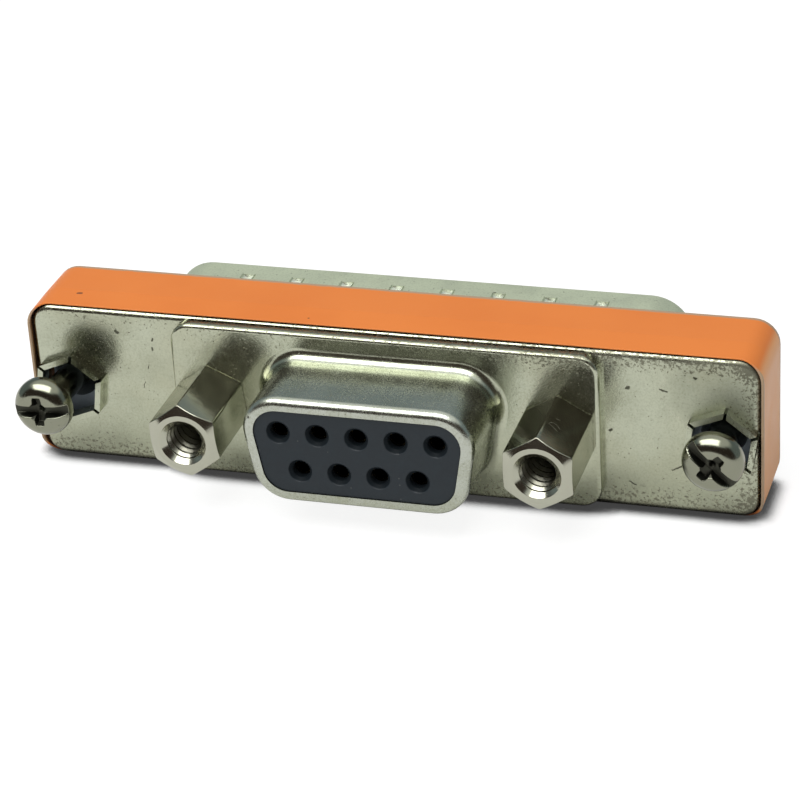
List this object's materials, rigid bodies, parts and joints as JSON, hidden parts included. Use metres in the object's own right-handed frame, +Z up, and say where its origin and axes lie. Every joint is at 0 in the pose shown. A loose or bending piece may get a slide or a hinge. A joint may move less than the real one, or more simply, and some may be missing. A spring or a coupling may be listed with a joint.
{
  "type": "d-sub adapter",
  "caption": "Flat adapter with a small D-shaped socket between hexagonal standoffs in front, a wide D-shaped plug behind, an orange band and captive screws.",
  "frame": {"origin": "middle of the moulded band's bottom face, on the surface it rests on, half way between the two plates", "axes": "+X to the right seen from the socket's side, +Y from the socket towards the plug, +Z up, with the socket's wide side up"},
  "size_m": [0.0528, 0.019, 0.0125],
  "materials": {
    "band_plastic": "smooth moulded orange",
    "plate_metal": "bright nickel plate, slightly speckled",
    "insulator_plastic": "fine matt, blue-black",
    "board_laminate": "green glass-fibre board, tinned pads",
    "standoff_metal": "nickel-plated, turned",
    "screw_metal": "bright nickel plate",
    "contact_metal": "gold flash",
    "pin_metal": "gold flash over nickel"
  },
  "bodies": {
    "adapter": {"band": "band_plastic", "front_plate": "plate_metal", "rear_plate": "plate_metal", "socket_insulator_front": "insulator_plastic", "socket_insulator_back": "insulator_plastic", "pin_insulator_front": "insulator_plastic", "pin_insulator_back": "insulator_plastic", "adapter_board": "board_laminate", "standoff_left": "standoff_metal", "standoff_right": "standoff_metal", "standoff_nut_left": "standoff_metal", "standoff_nut_right": "standoff_metal", "socket_contact_1": "contact_metal", "socket_contact_2": "contact_metal", "socket_contact_3": "contact_metal", "socket_contact_4": "contact_metal", "socket_contact_5": "contact_metal", "socket_contact_6": "contact_metal", "socket_contact_7": "contact_metal", "socket_contact_8": "contact_metal", "socket_contact_9": "contact_metal", "pin_contact_01": "pin_metal", "pin_contact_02": "pin_metal", "pin_contact_03": "pin_metal", "pin_contact_04": "pin_metal", "pin_contact_05": "pin_metal", "pin_contact_06": "pin_metal", "pin_contact_07": "pin_metal", "pin_contact_08": "pin_metal", "pin_contact_09": "pin_metal", "pin_contact_10": "pin_metal", "pin_contact_11": "pin_metal", "pin_contact_12": "pin_metal", "pin_contact_13": "pin_metal", "pin_contact_14": "pin_metal", "pin_contact_15": "pin_metal", "pin_contact_16": "pin_metal", "pin_contact_17": "pin_metal", "pin_contact_18": "pin_metal", "pin_contact_19": "pin_metal", "pin_contact_20": "pin_metal", "pin_contact_21": "pin_metal", "pin_contact_22": "pin_metal", "pin_contact_23": "pin_metal", "pin_contact_24": "pin_metal", "pin_contact_25": "pin_metal"},
    "screw_left": {"jackscrew_left": "screw_metal"},
    "screw_right": {"jackscrew_right": "screw_metal"}
  },
  "joints": [
    {"name": "jackscrew_left_slide", "type": "slide", "parent": "adapter", "child": "screw_left", "axis": [-0.0331, -0.999, 0.0297], "range_m": [-0.0031, 0.00035]},
    {"name": "jackscrew_right_slide", "type": "slide", "parent": "adapter", "child": "screw_right", "axis": [0, -1, 0], "range_m": [-0.00193, 0.00173]}
  ]
}
